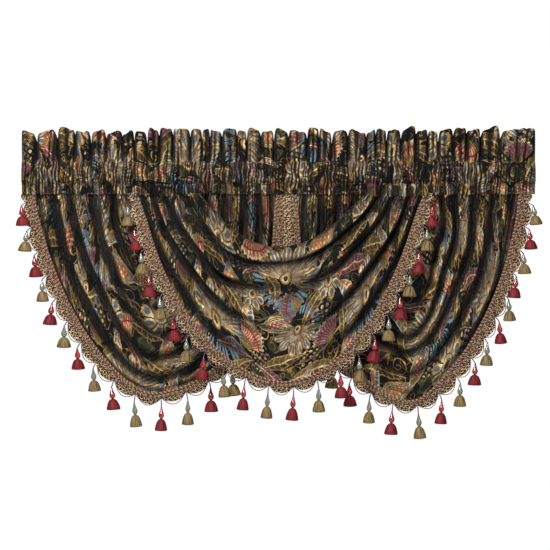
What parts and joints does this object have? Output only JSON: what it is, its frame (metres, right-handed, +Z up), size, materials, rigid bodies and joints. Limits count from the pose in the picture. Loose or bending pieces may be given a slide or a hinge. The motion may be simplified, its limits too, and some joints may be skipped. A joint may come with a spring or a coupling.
{
  "type": "waterfall valance",
  "caption": "Waterfall valance: gathered heading with a rod pocket, overlapping draped swags, and a scalloped trim with bead tassels.",
  "frame": {"origin": "on the axis of the rod pocket, halfway along it, where the rod's centre line lies", "axes": "+X along the rod to the viewer's right, -Y towards the room and the viewer, +Z up"},
  "size_m": [1.2734, 0.067, 0.7519],
  "materials": {
    "heading_cloth": "woven floral jacquard on a near-black ground, matt",
    "swag_cloth": "woven floral jacquard on a near-black ground, matt",
    "trim_braid": "twisted braid and scalloped lace with glossy beads and yarn tassels in crimson and gold"
  },
  "bodies": {
    "root": {"heading": "heading_cloth", "swag_left": "swag_cloth", "swag_right": "swag_cloth", "swag_centre": "swag_cloth", "trim_left": "trim_braid", "trim_right": "trim_braid", "trim_centre": "trim_braid"}
  },
  "joints": []
}
